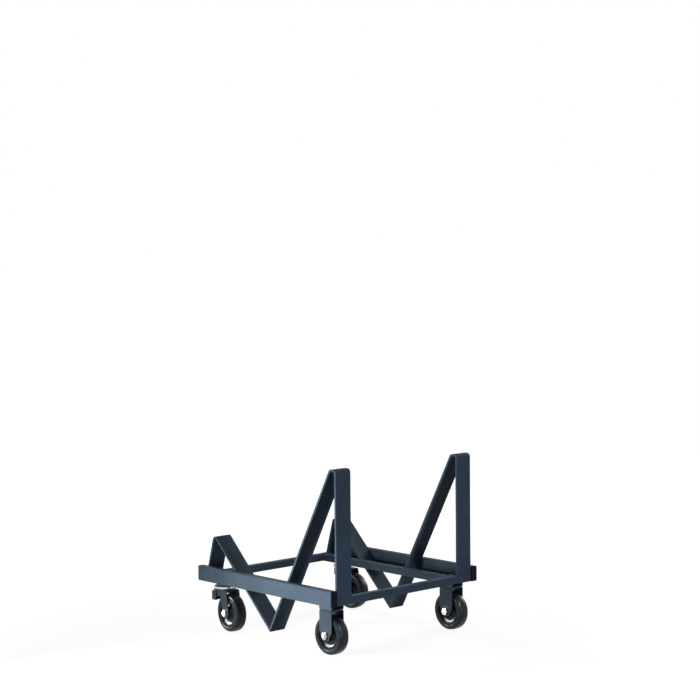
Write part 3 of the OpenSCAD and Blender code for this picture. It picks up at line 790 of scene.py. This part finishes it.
floor_white, tree, principled = shader("floor_white", roughness=0.9, specular_ior_level=0.0)
feed(tree, principled["Base Color"], floor_grey)
feed(tree, principled["Emission Color"], white)
away = tree.nodes.new("ShaderNodeVectorMath")
away.operation = "LENGTH"
feed(tree, away.inputs[0], tree.nodes.new("ShaderNodeTexCoord").outputs["Object"])
glow = stretch(tree, away.outputs["Value"], fade_start, fade_stop, glow_near, full_white)
feed(tree, principled["Emission Strength"], maths(tree, "MULTIPLY", seen_directly(tree), glow))
floor_mesh.materials.append(floor_white)

world = bpy.data.worlds.new("studio")
scene.world = world
world.use_nodes = True
tree = world.node_tree
sky = tree.nodes["Background"].inputs
feed(tree, sky["Color"], white)
feed(tree, sky["Strength"], drift(tree, seen_directly(tree), room_light, full_white))


# Lamps: a warm key low at the near side, which shows in no reflection, a cool fill in front, and
# two weak lamps that light the far side and the back. Three more show as gloss alone, one in the
# wheels' dishes and on the axles, and two on the tyres.
warm_white = (1.0, 0.99, 0.90)
cool_white = (0.80, 0.88, 1.0)
trolley_middle = (0.0, 0.0, 0.2)
wheel_middle = (0.0, 0.0, 0.05)
sheen_stand = (-1.7, -1.25, 1.46)


def soft_lamp(name, stand, target, size, power, tint=white, spread=180):
    """A round lamp at a stand, in metres and watts, that the camera doesn't see."""
    data = bpy.data.lights.new(name, "AREA")
    data.shape = "DISK"
    data.size = size
    data.energy = power
    data.color = tint
    data.spread = math.radians(spread)
    lamp = bpy.data.objects.new(name, data)
    lamp.location = stand
    lamp.rotation_euler = (Vector(target) - Vector(stand)).to_track_quat("-Z", "Y").to_euler()
    lamp.visible_camera = False
    scene.collection.objects.link(lamp)
    return lamp


def gloss_lamp(name, stand, size, power, receivers):
    """A lamp that shows only as gloss, and only on some pieces."""
    lamp = soft_lamp(name, stand, wheel_middle, size, power)
    lamp.visible_diffuse = False
    lamp.light_linking.receiver_collection = receivers


def pieces_named(collection_name, starts):
    """The pieces whose names start in one of these ways, as a collection."""
    made = bpy.data.collections.new(collection_name)
    for piece in scene.objects:
        if piece.name.startswith(starts):
            made.objects.link(piece)
    return made


side_softbox = soft_lamp(
    "side_softbox", stand=(-0.08, -1.03, 0.14), target=(0.35, -0.25, 0.15), size=0.5, power=8.1,
    tint=warm_white, spread=100,
)
side_softbox.visible_glossy = False
soft_lamp("front_fill", (3.0, 0.0, 0.3), trolley_middle, size=0.3, power=27, tint=cool_white)
soft_lamp("far_side", (0.2, 2.8, 1.3), trolley_middle, size=1.0, power=45)
soft_lamp("behind", (-2.8, 0.3, 1.2), trolley_middle, size=1.0, power=35)
cores_and_axles = pieces_named("cores_and_axles", ("nylon_core_", "locknut_", "threaded_axle_"))
tyres = pieces_named("tyres", ("rubber_tyre_",))
gloss_lamp("dish_sheen", sheen_stand, size=3.2, power=1024, receivers=cores_and_axles)
gloss_lamp("wall_sheen", sheen_stand, size=2.0, power=400, receivers=tyres)
gloss_lamp("shoulder_glint", (2.2, -0.1, 1.6), size=0.12, power=90, receivers=tyres)


# Camera: a long lens about 1.1 m above the floor and 5 m off the front right corner. Its stand and
# lens are the ones that put the frame's corners where the photograph has them.
azimuth = math.radians(47.54)
pitch = math.radians(4.02)
roll = math.radians(-0.536)
aim_aside = 0.04008
aim_height = 0.74096
distance = 5.156
back = Vector((math.sin(azimuth) * math.cos(pitch), -math.cos(azimuth) * math.cos(pitch), math.sin(pitch)))
level = Vector((math.cos(azimuth), math.sin(azimuth), 0.0))
upright = back.cross(level)
across = math.cos(roll) * level + math.sin(roll) * upright
above = -math.sin(roll) * level + math.cos(roll) * upright
eye = level * aim_aside + Vector((0.0, 0.0, aim_height)) + back * distance
camera_data = bpy.data.cameras.new("camera")
camera_data.sensor_width = 36.0
camera_data.lens = 100.987
camera_data.clip_end = 100.0
camera = bpy.data.objects.new("camera", camera_data)
camera.matrix_world = Matrix.Translation(eye) @ Matrix((across, above, back)).transposed().to_4x4()
scene.collection.objects.link(camera)
scene.camera = camera
scene.view_settings.view_transform = "Standard"
